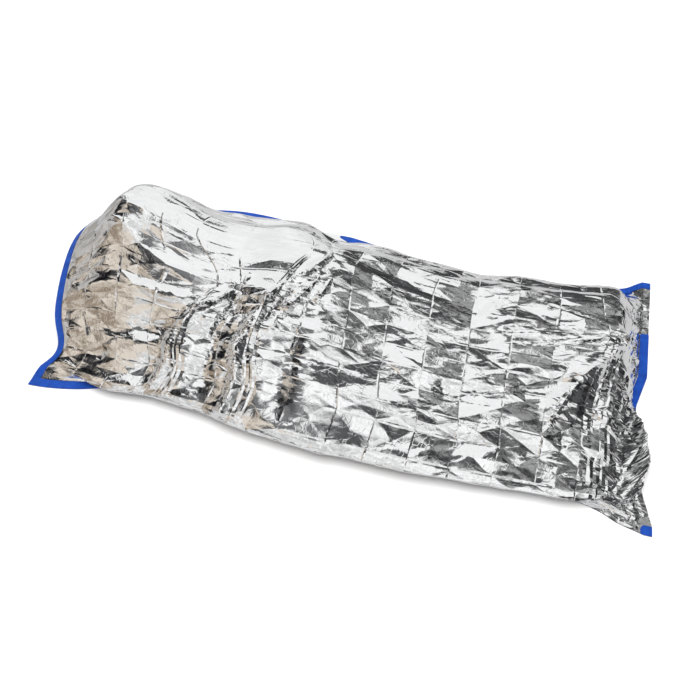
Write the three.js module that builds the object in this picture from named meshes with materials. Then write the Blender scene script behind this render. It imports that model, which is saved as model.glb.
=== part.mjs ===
// Emergency sleeping bag, open at its mouth and standing up as it does in use, at rest on the floor.
// Two panels of metallised film lie one over the other. Blue tape, folded over the edges, joins them along
// both long sides and the foot, and finishes the two edges of the mouth.
// Millimetres: +X runs from the mouth to the foot, +Y from the front to the back, and the floor is z = 0.
import * as THREE from "three";

const { lerp, smoothstep, clamp } = THREE.MathUtils;

// Driving dimensions
const FILM_LENGTH = 2000; // each panel as cut, from mouth to foot
const FILM_WIDTH = 1000; // each panel as cut, from seam to seam
const FILM_THICK = 1;
const FOLD_ALONG = 125; // pitch of the packing folds that run across the film
const FOLD_ACROSS = 62.5; // pitch of the packing folds that run along it
const TAPE_FACE = 28; // width of tape on each face of a bound edge
const TAPE_THICK = 1;
const CLEARANCE = 0.3; // between neighbouring pieces

// Layers of a bound seam from the floor up: tape, bottom film, room for two mouth tapes, top film, tape
const FLANGE = TAPE_FACE + CLEARANCE; // flat edge of the films inside the tape
const LOWER_FILM = TAPE_THICK + CLEARANCE + FILM_THICK / 2; // height of the bottom film's middle
const SEAM_ROOM = 2 * TAPE_THICK + 3 * CLEARANCE;
const UPPER_FILM = LOWER_FILM + FILM_THICK + SEAM_ROOM; // height of the top film's middle
const SEAM_HEIGHT = UPPER_FILM + FILM_THICK / 2 + CLEARANCE + TAPE_THICK;

// A table row becomes an object whose keys are the column names
const table = (columns, ...rows) =>
  rows.map((row) => Object.fromEntries(columns.split(" ").map((name, i) => [name, row[i]])));

// Cross sections of the top panel from the mouth to the foot. The film leaves the near seam, which it
// overhangs by tuck, climbs over low to break, where the front slope ends, and goes over crest, with a bulge
// behind it, to the far seam.
const SECTIONS = table(
  "x nearY tuck lowY lowZ breakY breakZ crestY crestZ bulge farY farZ",
  [-965, -480, 0, -340, 30, -110, 140, 50, 175, 40, 290, 15],
  [-900, -475, 0, -340, 45, -110, 175, 80, 240, 45, 310, 30],
  [-810, -458, 12, -350, 60, -100, 215, 120, 335, 45, 330, 60],
  [-700, -426, 30, -360, 75, -90, 230, 130, 322, 30, 344, 92],
  [-540, -412, 34, -360, 85, -80, 228, 120, 270, -20, 362, 108],
  [-400, -422, 38, -370, 93, -88, 210, 120, 248, 0, 370, 100],
  [-260, -436, 45, -376, 100, -100, 209, 115, 256, 35, 374, 75],
  [-120, -450, 50, -380, 105, -110, 206, 110, 248, -20, 380, 62],
  [50, -455, 50, -380, 95, -110, 170, 115, 212, 20, 366, 45],
  [350, -450, 45, -380, 80, -105, 140, 130, 165, 36, 342, 20],
  [580, -446, 30, -370, 70, -95, 130, 160, 160, 36, 362, 15],
  [760, -446, 26, -370, 55, -60, 125, 190, 155, 32, 390, 10],
  [830, -462, 14, -380, 45, -45, 112, 205, 145, 30, 412, 10],
  [880, -484, 2, -390, 35, -40, 80, 210, 92, 21, 430, 10],
);

// Plan of the two ends. The foot edge runs straight from corner to corner of its table.
const FOOT_PLAN = table(
  "across x",
  [0, 982],
  [125, 948],
  [281.25, 921],
  [437.5, 925],
  [562.5, 958],
  [FILM_WIDTH, 970],
);
const FOOT_Y = { near: -500, far: 485 };
const FOOT_TUCK = { across: 270, spread: 160, depth: 32, clear: [60, 160] }; // film overhangs the foot tape
// The top film leans out to its mouth, or in where the reach is below zero
const MOUTH_LEAN = table("across spread reach fromX", [620, 300, 45, -700], [185, 85, -42, -830]);
const MOUTH_BOW = { depth: 85, length: 320 }; // the bottom film's mouth edge is drawn in

// Film turning back over a seam, as distances out from the flange and heights above it
const FULL_TUCK = 30; // an overhang from which the film is fully turned back
const TURN = { hairpin: 8, over: 20, overHeight: 17, lipHeight: 20, lipSlope: 0.3 };
const PLAIN_SHARES = [0.15, 0.35, 0.6]; // places of the same three points where nothing is tucked
const BACK_DROP = 0.38; // share of the way down to the far seam at which the bulge stands

// Relief of the film, outwards from the sections
const PACKING = { ridge: 3.6, cross: 1.6, stray: 3.4 };
const STRAY = { along: 127.1, across: 311.7, spread: 43758.5453 }; // scatters the uneven part
const TAUT = { along: 520, across: 650, reachAlong: 420, reachAcross: 200, share: 0.7 };
const FADE = { near: [130, 200], far: [45, 110], mouth: [35, 120], foot: [110, 200] };

// Main folds in film sizes from the mouth and the near edge; below zero a fold is a trough
const FOLDS = table(
  "along across alongEnd acrossEnd width height",
  [445, 150, 516, 406, 48, 13],
  [516, 406, 590, 490, 42, 10],
  [585, 200, 640, 430, 62, -13],
  [708, 130, 715, 300, 50, 15],
  [715, 300, 757, 472, 46, 14],
  [757, 472, 868, 656, 42, 10],
  [850, 190, 880, 480, 60, -9],
  [150, 250, 420, 300, 50, -8],
  [140, 390, 440, 420, 50, 8],
  [1000, 700, 1380, 640, 60, -9],
  [1812, 628, 1646, 340, 60, 12],
  [1812, 628, 1480, 566, 48, 9],
  [1812, 628, 1590, 690, 50, 8],
  [1760, 330, 1800, 520, 60, -12],
  [1330, 330, 1660, 420, 60, -10],
);

// Places along and across the film where its shape is worked out
const LOW_LINE = 3 * FOLD_ACROSS; // the film has left the near seam and its overhang
const RISE_LINE = 15 * FOLD_ALONG; // the film starts down to the foot seam
const FOOT_LINE = FILM_LENGTH - FLANGE;
const FAR_LINE = FILM_WIDTH - FLANGE;
const HALF_ALONG = FOLD_ALONG / 2;
const HALF_ACROSS = FOLD_ACROSS / 2;
const CLOSE_STRETCHES = table("from to", [437.5, 875], [1687.5, 1875]); // pleats, and the near tuck's end
const TURN_SPLITS = [2, 3, 3, 4]; // steps in each stretch of a turn, from the seam to the first rise

// Even steps between two places, both included
function steps(from, to, step) {
  return Array.from({ length: Math.round((to - from) / step) + 1 }, (_, i) => from + i * step);
}

// Shares of a turn, from 0 at the seam to 1 at the first rise
const TURN_SHARES = TURN_SPLITS.flatMap((split, stretch) =>
  steps(0, split - 1, 1).map((step) => (stretch + step / split) / TURN_SPLITS.length),
);
const ALONG = [
  0,
  TAPE_FACE,
  ...steps(HALF_ALONG, RISE_LINE, HALF_ALONG / 2).filter(
    (along) => along % HALF_ALONG === 0 || CLOSE_STRETCHES.some(({ from, to }) => along > from && along < to),
  ),
  ...TURN_SHARES.map((share) => lerp(FOOT_LINE, RISE_LINE, share)).reverse(),
];
const ACROSS = [
  ...TURN_SHARES.map((share) => lerp(FLANGE, LOW_LINE, share)),
  ...steps(LOW_LINE, FILM_WIDTH - FOLD_ACROSS, HALF_ACROSS),
  (FILM_WIDTH - FOLD_ACROSS + FAR_LINE) / 2,
  FAR_LINE,
];

const bump = (value, centre, spread) => Math.exp(-(((value - centre) / spread) ** 2));

// Smooth curve from a seam to the other end of the film. The answer takes a share of the seam's turn, or
// a share of the length beyond it.
function filmCurve(points) {
  const curve = new THREE.CatmullRomCurve3(points, false, "centripetal");
  const stretches = points.length - 1;
  const perStretch = 50;
  curve.arcLengthDivisions = perStretch * stretches;
  const lengths = curve.getLengths();
  const turnEnd = lengths[perStretch * TURN_SPLITS.length] / lengths.at(-1);
  return {
    inTurn: (share) => curve.getPoint((share * TURN_SPLITS.length) / stretches),
    beyond: (share) => curve.getPointAt(lerp(turnEnd, 1, share)),
  };
}

// Three points that lead the film from a seam to its first rise, or out over the tape and back
function seamTurn(start, rise, outward, tuck) {
  const turned = [
    [-TURN.hairpin, TURN.hairpin],
    [TURN.over, TURN.overHeight],
    [FLANGE + tuck, TURN.lipHeight + TURN.lipSlope * tuck],
  ];
  return turned.map(([out, up], i) => {
    const over = start.clone().addScaledVector(outward, out);
    over.z += up;
    return start.clone().lerp(rise, PLAIN_SHARES[i]).lerp(over, Math.min(1, tuck / FULL_TUCK));
  });
}

// Top film of one cross section, from flange to flange
function sectionCurve(row) {
  const at = (y, z) => new THREE.Vector3(row.x, y, z);
  const start = at(row.nearY + FLANGE, UPPER_FILM);
  const low = at(row.lowY, row.lowZ);
  return filmCurve([
    start,
    ...seamTurn(start, low, new THREE.Vector3(0, -1, 0), row.tuck),
    low,
    at(row.breakY, row.breakZ),
    at(row.crestY, row.crestZ),
    at((row.crestY + row.farY) / 2 + row.bulge, lerp(row.crestZ, row.farZ, BACK_DROP)),
    at(row.farY - FLANGE, row.farZ + UPPER_FILM),
  ]);
}

function mouthLean(x, across) {
  return MOUTH_LEAN.reduce((sum, { across: centre, spread, reach, fromX }) => {
    const weight = clamp((fromX - x) / (fromX - SECTIONS[0].x), 0, 1) ** 2;
    return sum - weight * reach * bump(across, centre, spread);
  }, 0);
}

function footTuck(across) {
  const { depth, spread, clear } = FOOT_TUCK;
  return depth * bump(across, FOOT_TUCK.across, spread) * smoothstep(across, ...clear);
}

// Inner line of the foot flange at one place across the film
function footStart(across) {
  const next = FOOT_PLAN.findIndex((corner) => corner.across >= across);
  const [from, to] = [FOOT_PLAN[Math.max(0, next - 1)], FOOT_PLAN[next]];
  const x = THREE.MathUtils.mapLinear(across, from.across, to.across, from.x, to.x);
  return new THREE.Vector3(x - FLANGE, lerp(FOOT_Y.near, FOOT_Y.far, across / FILM_WIDTH), UPPER_FILM);
}

// Smooth top film between the flanges: a row for each place along, a point for each place across
function smoothFilm() {
  const sections = SECTIONS.map(sectionCurve);
  const columns = ACROSS.map((across) => {
    const line = sections.map((section) => {
      const point =
        across < LOW_LINE
          ? section.inTurn((across - FLANGE) / (LOW_LINE - FLANGE))
          : section.beyond((across - LOW_LINE) / (FAR_LINE - LOW_LINE));
      point.x += mouthLean(point.x, across);
      return point;
    });
    const start = footStart(across);
    const turn = seamTurn(start, line.at(-1), new THREE.Vector3(1, 0, 0), footTuck(across));
    return filmCurve([start, ...turn, ...line.reverse()]);
  });
  return ALONG.map((along) =>
    columns.map((column) =>
      along > RISE_LINE
        ? column.inTurn((FOOT_LINE - along) / (FOOT_LINE - RISE_LINE))
        : column.beyond(1 - along / RISE_LINE),
    ),
  );
}

// Unit normals of a grid of points, upwards where the film lies in a seam
function gridNormals(grid, inSeam) {
  const difference = (a, b) => new THREE.Vector3().subVectors(b, a);
  return grid.map((row, i) =>
    row.map((_, j) => {
      if (inSeam(i, j)) return new THREE.Vector3(0, 0, 1);
      const along = difference(grid[Math.max(i - 1, 0)][j], grid[Math.min(i + 1, grid.length - 1)][j]);
      const across = difference(row[Math.max(j - 1, 0)], row[Math.min(j + 1, row.length - 1)]);
      return along.cross(across).normalize();
    }),
  );
}

// Repeatable number from -1 to 1 for a place in the fold pattern
function stray(i, j) {
  const value = Math.sin(i * STRAY.along + j * STRAY.across) * STRAY.spread;
  return 2 * (value - Math.floor(value)) - 1;
}

// Height of the packing folds: ridge and valley by turns, uneven, and drawn flat where the film is taut
function packingRelief(along, across) {
  const i = Math.round(along / HALF_ALONG);
  const j = Math.round(across / HALF_ACROSS);
  const ridge = j % 2 === 0 ? (j % 4 === 0 ? PACKING.ridge : -PACKING.ridge) : 0;
  const cross = i % 2 === 0 ? (i % 4 === 0 ? PACKING.cross : -PACKING.cross) : 0;
  const tautness = bump(along, TAUT.along, TAUT.reachAlong) * bump(across, TAUT.across, TAUT.reachAcross);
  return (ridge + cross + PACKING.stray * stray(i, j)) * (1 - TAUT.share * tautness);
}

// Height of the main folds: soft ridges and troughs along straight lines
function foldRelief(along, across) {
  const place = new THREE.Vector3(along, across, 0);
  const nearest = new THREE.Vector3();
  return FOLDS.reduce((sum, fold) => {
    const from = new THREE.Vector3(fold.along, fold.across, 0);
    const to = new THREE.Vector3(fold.alongEnd, fold.acrossEnd, 0);
    new THREE.Line3(from, to).closestPointToPoint(place, true, nearest);
    return sum + fold.height * bump(place.distanceTo(nearest), 0, fold.width / 2);
  }, 0);
}

// No relief next to the tapes
function edgeFade(along, across) {
  const near = smoothstep(across, ...FADE.near);
  const far = smoothstep(FILM_WIDTH - across, ...FADE.far);
  const mouth = smoothstep(along, ...FADE.mouth);
  const foot = smoothstep(FILM_LENGTH - along, ...FADE.foot);
  return near * far * mouth * foot;
}

// Adds the flat flanges outside the near, far and foot lines of a film
function withFlanges(grid) {
  const moved = (point, x, y) => new THREE.Vector3(point.x + x, point.y + y, point.z);
  const wide = grid.map((row) => [moved(row[0], 0, -FLANGE), ...row, moved(row.at(-1), 0, FLANGE)]);
  return [...wide, wide.at(-1).map((point) => moved(point, FLANGE, 0))];
}

// Closed sheet around a grid of points. Each cell is split along the diagonal that leftward leaves out.
function sheetGeometry(grid, normals, leftward) {
  const rows = grid.length;
  const columns = grid[0].length;
  const positions = [1, -1].flatMap((side) =>
    grid.flatMap((row, i) =>
      row.flatMap((point, j) =>
        point.clone().addScaledVector(normals[i][j], (side * FILM_THICK) / 2).toArray(),
      ),
    ),
  );
  const upper = (i, j) => i * columns + j;
  const lower = (i, j) => rows * columns + upper(i, j);
  const index = [];
  const quad = (a, b, c, d) => index.push(a, b, c, a, c, d);
  for (let i = 0; i < rows - 1; i += 1) {
    for (let j = 0; j < columns - 1; j += 1) {
      const corners = [[i, j], [i + 1, j], [i + 1, j + 1], [i, j + 1]];
      if (leftward(i, j)) corners.push(corners.shift());
      quad(...corners.map((corner) => upper(...corner)));
      const [a, b, c, d] = corners.map((corner) => lower(...corner));
      quad(a, d, c, b);
    }
  }
  const rim = [
    ...steps(0, rows - 1, 1).map((i) => [i, 0]),
    ...steps(1, columns - 1, 1).map((j) => [rows - 1, j]),
    ...steps(1, rows - 1, 1).map((i) => [rows - 1 - i, columns - 1]),
    ...steps(1, columns - 2, 1).map((j) => [0, columns - 1 - j]),
  ];
  rim.forEach((corner, k) => {
    const next = rim[(k + 1) % rim.length];
    quad(upper(...corner), lower(...corner), lower(...next), upper(...next));
  });
  return closedGeometry(positions, index);
}

// Closed solid through a row of like sections, each a closed outline of points, with flat ends. Every quad
// is split from its outer corner on one section to its inner corner on the next, as the film beside it is.
function sweepGeometry(sections, outline) {
  const count = outline.length;
  const positions = sections.flatMap((section) => section.flatMap((point) => point.toArray()));
  const index = [];
  for (let i = 0; i < sections.length - 1; i += 1) {
    for (let k = 0; k < count; k += 1) {
      const next = (k + 1) % count;
      const [a, b] = [i * count + k, i * count + next];
      if (outline[k].x < outline[next].x) index.push(a, b, b + count, a, b + count, a + count);
      else index.push(a, b, a + count, b, b + count, a + count);
    }
  }
  const last = (sections.length - 1) * count;
  for (const [a, b, c] of THREE.ShapeUtils.triangulateShape(outline, [])) {
    index.push(a, c, b, last + a, last + b, last + c);
  }
  return closedGeometry(positions, index);
}

function closedGeometry(positions, index) {
  const geometry = new THREE.BufferGeometry();
  geometry.setAttribute("position", new THREE.Float32BufferAttribute(positions, 3));
  geometry.setIndex(index);
  geometry.computeVertexNormals();
  return geometry;
}

// Tape folded over an edge: inwards from the edge, and up from the underside of the lower lip
function tapeOutline(height) {
  const wall = -CLEARANCE - TAPE_THICK;
  return [
    [wall, 0],
    [TAPE_FACE, 0],
    [TAPE_FACE, TAPE_THICK],
    [-CLEARANCE, TAPE_THICK],
    [-CLEARANCE, height - TAPE_THICK],
    [TAPE_FACE, height - TAPE_THICK],
    [TAPE_FACE, height],
    [wall, height],
  ].map(([inwards, up]) => new THREE.Vector2(inwards, up));
}

// Tape around both films of a seam, along the edge of the top film
function seamBinding(edge, inwards, turnedRound) {
  const outline = tapeOutline(SEAM_HEIGHT);
  const sections = edge.map((point) =>
    outline.map(({ x, y }) => {
      const corner = point.clone().addScaledVector(inwards, x);
      corner.z += y - UPPER_FILM;
      return corner;
    }),
  );
  return sweepGeometry(turnedRound ? sections.reverse() : sections, outline);
}

// Tape around one film at the mouth, from its edge and the next row of points
function mouthBinding(edge, inner, edgeNormals, innerNormals) {
  const height = FILM_THICK + 2 * (CLEARANCE + TAPE_THICK);
  const outline = tapeOutline(height);
  const sections = edge.map((point, j) => {
    const outwards = point.clone().sub(inner[j]).normalize();
    return outline.map(({ x, y }) => {
      const up = y - height / 2;
      if (x > 0) return inner[j].clone().addScaledVector(innerNormals[j], up);
      return point.clone().addScaledVector(outwards, -x).addScaledVector(edgeNormals[j], up);
    });
  });
  return sweepGeometry(sections.reverse(), outline);
}

// Bottom film: flat on the floor, raised at its edges to let the tape under, and drawn up to the far seam
const FLOOR_ACROSS = [FLANGE, 60, 125, 281.25, 437.5, 562.5, 656.25, 737.5, 800, 856.25, 906.25, 945, FAR_LINE];
const RISE = { start: 40, perLift: 1.3 }; // width over which the film climbs to the far seam
const FOOT_FIT = 300; // length over which its rows turn from straight to the line of the foot

function bottomFilm(top) {
  return top.map((row, i) => {
    const [near, far] = [row[0], row.at(-1)];
    const lift = far.z - UPPER_FILM;
    const atFoot = smoothstep(ALONG[i], FOOT_LINE - FOOT_FIT, FOOT_LINE);
    const atMouth = 1 - smoothstep(ALONG[i], 0, MOUTH_BOW.length);
    const bound = i < 2 || i === top.length - 1;
    return FLOOR_ACROSS.map((across) => {
      const inTape = bound || across === FLANGE || across === FAR_LINE;
      const share = (across - FLANGE) / (FAR_LINE - FLANGE);
      const point = near.clone().lerp(far, share);
      const climb = Math.max(0, 1 - (far.y - point.y) / (RISE.start + RISE.perLift * lift));
      const straight = lerp(footStart(FLANGE).x, footStart(FAR_LINE).x, share);
      point.x += atFoot * (footStart(across).x - straight);
      point.x += atMouth * MOUTH_BOW.depth * 4 * share * (1 - share);
      point.z = (inTape ? LOWER_FILM : FILM_THICK / 2) + lift * climb ** 2;
      return point;
    });
  });
}

const BLUE = { color: 0x1656c4, roughness: 0.55, metalness: 0 };
const SILVER = { color: 0xd9dbde, roughness: 0.16, metalness: 1 };

function piece(name, geometry, finish) {
  const mesh = new THREE.Mesh(geometry, new THREE.MeshStandardMaterial(finish));
  mesh.name = name;
  return mesh;
}

function sleepingBag() {
  const smooth = smoothFilm();
  const lift = gridNormals(smooth, () => false);
  const draped = smooth.map((row, i) =>
    row.map((point, j) => {
      const [along, across] = [ALONG[i], ACROSS[j]];
      const relief = packingRelief(along, across) + foldRelief(along, across);
      return point.clone().addScaledVector(lift[i][j], relief * edgeFade(along, across));
    }),
  );

  const top = withFlanges(draped);
  const [footRow, farColumn] = [top.length - 2, top[0].length - 2];
  const topNormals = gridNormals(top, (i, j) => j < 2 || j >= farColumn || i >= footRow);
  const starDiagonal = (i, j) => {
    const half = (list, k, size) => Math.round(list[clamp(k, 0, list.length - 1)] / size);
    return i === 0 || (half(ALONG, i, HALF_ALONG) + half(ACROSS, j - 1, HALF_ACROSS)) % 2 !== 0;
  };

  const bottom = withFlanges(bottomFilm(draped));
  const upwards = bottom.map((row) => row.map(() => new THREE.Vector3(0, 0, 1)));

  const column = (grid, j) => grid.map((row) => row.at(j));
  const between = (row) => row.slice(1, -1);
  const towards = (x, y) => new THREE.Vector3(x, y, 0);

  const bag = new THREE.Group();
  bag.add(
    piece("top_panel", sheetGeometry(top, topNormals, starDiagonal), SILVER),
    piece("bottom_panel", sheetGeometry(bottom, upwards, (i) => i === 0), SILVER),
    piece("near_binding", seamBinding(column(top, 0), towards(0, 1), false), BLUE),
    piece("far_binding", seamBinding(column(top, -1), towards(0, -1), true), BLUE),
    piece("foot_binding", seamBinding(between(top.at(-1)), towards(-1, 0), false), BLUE),
    piece(
      "mouth_binding_top",
      mouthBinding(...[top[0], top[1], topNormals[0], topNormals[1]].map(between)),
      BLUE,
    ),
    piece(
      "mouth_binding_bottom",
      mouthBinding(...[bottom[0], bottom[1], upwards[0], upwards[1]].map(between)),
      BLUE,
    ),
  );

  // The part's origin is on the floor, under the middle of its box
  const middle = new THREE.Box3().setFromObject(bag).getCenter(new THREE.Vector3());
  bag.position.set(-middle.x, -middle.y, 0);
  return bag;
}

export default sleepingBag();
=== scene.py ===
# %% [markdown]
# # An emergency sleeping bag of silver film
# The real bag is two sheets of thin metallised film, one over the other, bound with blue tape along both
# long sides, the foot and the two edges of the mouth. Packed small, the film was folded into a grid, and
# every fold stays in it as a crease that flashes white or dark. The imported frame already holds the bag's
# draped form. Here each piece is modelled again as what it is, a thin sheet or a folded tape, on that form.
# Sizes in the tables are millimetres, as a maker would measure the cut film, and MM makes them metres.

import math

import bpy
import numpy as np
from mathutils import Matrix, Vector


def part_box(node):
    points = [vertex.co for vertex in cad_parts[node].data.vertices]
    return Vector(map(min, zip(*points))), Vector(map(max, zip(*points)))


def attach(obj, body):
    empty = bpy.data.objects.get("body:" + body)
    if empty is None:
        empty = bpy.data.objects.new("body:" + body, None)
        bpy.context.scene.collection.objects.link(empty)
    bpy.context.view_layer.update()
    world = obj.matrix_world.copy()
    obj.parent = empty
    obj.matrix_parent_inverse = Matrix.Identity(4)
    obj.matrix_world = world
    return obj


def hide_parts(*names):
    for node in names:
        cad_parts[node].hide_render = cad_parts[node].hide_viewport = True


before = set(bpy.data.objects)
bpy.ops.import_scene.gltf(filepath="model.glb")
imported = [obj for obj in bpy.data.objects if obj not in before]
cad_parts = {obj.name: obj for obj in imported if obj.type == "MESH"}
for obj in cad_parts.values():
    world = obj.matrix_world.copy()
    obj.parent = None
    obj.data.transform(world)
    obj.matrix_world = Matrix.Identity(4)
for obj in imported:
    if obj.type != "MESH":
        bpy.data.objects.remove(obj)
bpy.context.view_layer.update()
MM = 0.001
print("packed nodes:", sorted(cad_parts))

# %% [markdown]
# ## The cut film
# Each film is a rectangle. A place on it is given by two sizes: along, from the mouth to the foot, and
# across, from the near seam to the far one. Working in those sizes keeps every fold where the maker put it.
# The sheet has eight squares to each half of a packing cell, so that the folds, and the diagonals between
# them, run along the edges of its faces and stay crisp.

# %% Sizes of the cut
FILM_LENGTH = 2000 * MM
FILM_WIDTH = 1000 * MM
FOLDS_EACH_WAY = 16
HALF_CELLS = 2 * FOLDS_EACH_WAY
HALVINGS = 3
SQUARES = 2**HALVINGS
FINE = HALF_CELLS * SQUARES
HALF_ALONG = FILM_LENGTH / HALF_CELLS
HALF_ACROSS = FILM_WIDTH / HALF_CELLS
TAPE_FACE = 28 * MM
# Inside the tapes the films lie flat for the width of a flange, at these heights above the floor
FLANGE = 28.3 * MM
LOWER_FILM = 1.4 * MM
UPPER_FILM = 3.0 * MM
# The turn at a seam ends on these lines: across from the near seam, and along to the foot
LOW_LINE = 187.5 * MM
RISE_LINE = 1875 * MM
FOOT_LINE = FILM_LENGTH - FLANGE
FAR_LINE = FILM_WIDTH - FLANGE

along = np.linspace(0, FILM_LENGTH, FINE + 1)
across = np.linspace(0, FILM_WIDTH, FINE + 1)
print("film grid:", FINE, "x", FINE, "squares of", along[1] / MM, "x", across[1] / MM, "mm")

# %% [markdown]
# ## The draped form
# The top film is drawn by fourteen cross sections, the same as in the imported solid. A row says where the
# film leaves the near seam, how far it hangs over it, where it rises, breaks, crests and meets the far
# seam. A curve through those points gives a section, and curves through all the sections give the film.

# %% Cross sections and ends
COLUMNS = "x near_y tuck low_y low_z break_y break_z crest_y crest_z bulge far_y far_z".split()
SECTIONS = [
    [-965, -480, 0, -340, 30, -110, 140, 50, 175, 40, 290, 15],
    [-900, -475, 0, -340, 45, -110, 175, 80, 240, 45, 310, 30],
    [-810, -458, 12, -350, 60, -100, 215, 120, 335, 45, 330, 60],
    [-700, -426, 30, -360, 75, -90, 230, 130, 322, 30, 344, 92],
    [-540, -412, 34, -360, 85, -80, 228, 120, 270, -20, 362, 108],
    [-400, -422, 38, -370, 93, -88, 210, 120, 248, 0, 370, 100],
    [-260, -436, 45, -376, 100, -100, 209, 115, 256, 35, 374, 75],
    [-120, -450, 50, -380, 105, -110, 206, 110, 248, -20, 380, 62],
    [50, -455, 50, -380, 95, -110, 170, 115, 212, 20, 366, 45],
    [350, -450, 45, -380, 80, -105, 140, 130, 165, 36, 342, 20],
    [580, -446, 30, -370, 70, -95, 130, 160, 160, 36, 362, 15],
    [760, -446, 26, -370, 55, -60, 125, 190, 155, 32, 390, 10],
    [830, -462, 14, -380, 45, -45, 112, 205, 145, 30, 412, 10],
    [880, -484, 2, -390, 35, -40, 80, 210, 92, 21, 430, 10],
]
section = dict(zip(COLUMNS, np.array(SECTIONS, float).T * MM))
FOOT_ACROSS = np.array([0, 125, 281.25, 437.5, 562.5, 1000]) * MM
FOOT_X = np.array([982, 948, 921, 925, 958, 970]) * MM
FOOT_Y = np.array([-500, 485]) * MM
FOOT_TUCK = {"across": 270 * MM, "spread": 160 * MM, "depth": 32 * MM, "clear": (60 * MM, 160 * MM)}
# The edge of the mouth leans out and in: across, spread, reach, and the x from which it leans
MOUTH_LEAN = [[620, 300, 45, -700], [185, 85, -42, -830]]
MOUTH_BOW = {"depth": 85 * MM, "length": 320 * MM}
# Film that hangs over a tape goes out and up by these steps, and is full at this tuck
FULL_TUCK = 30 * MM
TURN_OUT = [-8 * MM, 20 * MM, FLANGE]
TURN_UP = [8 * MM, 17 * MM, 20 * MM]
LIP_SLOPE = 0.3
PLAIN_SHARES = [0.1, 0.22, 0.36]
BACK_DROP = 0.38
TURN_KNOTS = 4
CURVE_STEPS = 50
NEAR_TURN = {"across": [FLANGE, 80 * MM, LOW_LINE], "knots": [0, 3, TURN_KNOTS]}
FOOT_TURN = {"from_edge": [FLANGE, 62.5 * MM, FILM_LENGTH - RISE_LINE], "knots": [0, 3, TURN_KNOTS]}
print("sections:", len(SECTIONS), "from x", section["x"][0], "to", section["x"][-1])


# %% Curves through rows of points
def bump(value, centre, spread):
    return np.exp(-(((value - centre) / spread) ** 2))


def smoothstep(value, low, high):
    share = np.clip((value - low) / (high - low), 0, 1)
    return share * share * (3 - 2 * share)


def curve_terms(points):
    """Cubic terms of centripetal curves through points, given as knots x curves x 3."""
    ends = np.concatenate([2 * points[:1] - points[1:2], points, 2 * points[-1:] - points[-2:-1]])
    step = np.diff(ends, axis=0)
    span = np.sqrt(np.linalg.norm(step, axis=-1, keepdims=True))
    before, inside, after = span[:-2], span[1:-1], span[2:]
    chord = step[1:-1] / inside
    start = (step[:-2] / before - (step[:-2] + step[1:-1]) / (before + inside) + chord) * inside
    stop = (chord - (step[1:-1] + step[2:]) / (inside + after) + step[2:] / after) * inside
    first, last = points[:-1], points[1:]
    return first, start, 3 * (last - first) - 2 * start - stop, 2 * (first - last) + start + stop


def on_curves(terms, knots):
    """Point of each curve at its knot numbers, given as places x curves."""
    stretch = np.clip(knots.astype(int), 0, len(terms[0]) - 1)
    share = (knots - stretch)[..., None]
    base, slope, bend, twist = (term[stretch, np.arange(term.shape[1])] for term in terms)
    return ((twist * share + bend) * share + slope) * share + base


def film_lines(points, turn_knots, beyond_shares):
    """Points in the turn at a seam, by its knots, and then at even shares of the length beyond it."""
    terms = curve_terms(points)
    fine = np.linspace(0, len(points) - 1, CURVE_STEPS * (len(points) - 1) + 1)
    dense = on_curves(terms, np.repeat(fine[:, None], points.shape[1], axis=1))
    steps = np.linalg.norm(np.diff(dense, axis=0), axis=-1)
    length = np.concatenate([np.zeros((1, points.shape[1])), np.cumsum(steps, axis=0)])
    knots = np.empty((len(turn_knots) + len(beyond_shares), points.shape[1]))
    knots[: len(turn_knots)] = np.asarray(turn_knots)[:, None]
    for curve in range(points.shape[1]):
        turn_end = np.interp(TURN_KNOTS, fine, length[:, curve])
        wanted = turn_end + np.asarray(beyond_shares) * (length[-1, curve] - turn_end)
        knots[len(turn_knots) :, curve] = np.interp(wanted, length[:, curve], fine)
    return on_curves(terms, knots)


def seam_turn(start, rise, outward, tuck):
    """Three points from a seam to the first rise, or out over the tape and back where film is tucked."""
    weight = np.minimum(1, tuck / FULL_TUCK)[..., None]
    turned = []
    for number, share in enumerate(PLAIN_SHARES):
        at_lip = number == len(PLAIN_SHARES) - 1
        out = TURN_OUT[number] + (tuck if at_lip else 0 * tuck)
        up = TURN_UP[number] + (LIP_SLOPE * tuck if at_lip else 0 * tuck)
        over = start + out[..., None] * np.array(outward) + up[..., None] * np.array([0, 0, 1])
        plain = start + share * (rise - start)
        turned.append(plain + weight * (over - plain))
    return turned


print("curve helpers ready")


# %% Smooth top film
def section_points():
    """Points of every section, from the near seam over the crest to the far seam."""

    def at(y, z):
        return np.stack([section["x"], y, z], axis=-1)

    start = at(section["near_y"] + FLANGE, np.full(len(SECTIONS), UPPER_FILM))
    low = at(section["low_y"], section["low_z"])
    back_y = (section["crest_y"] + section["far_y"]) / 2 + section["bulge"]
    back_z = section["crest_z"] + BACK_DROP * (section["far_z"] - section["crest_z"])
    return np.array(
        [start]
        + seam_turn(start, low, (0, -1, 0), section["tuck"])
        + [
            low,
            at(section["break_y"], section["break_z"]),
            at(section["crest_y"], section["crest_z"]),
            at(back_y, back_z),
            at(section["far_y"] - FLANGE, section["far_z"] + UPPER_FILM),
        ]
    )


def foot_start(place):
    """Points where the film leaves the foot seam, for places across."""
    x = np.interp(place, FOOT_ACROSS, FOOT_X) - FLANGE
    y = FOOT_Y[0] + (FOOT_Y[1] - FOOT_Y[0]) * place / FILM_WIDTH
    return np.stack([x, y, np.full(len(place), UPPER_FILM)], axis=-1)


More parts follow.
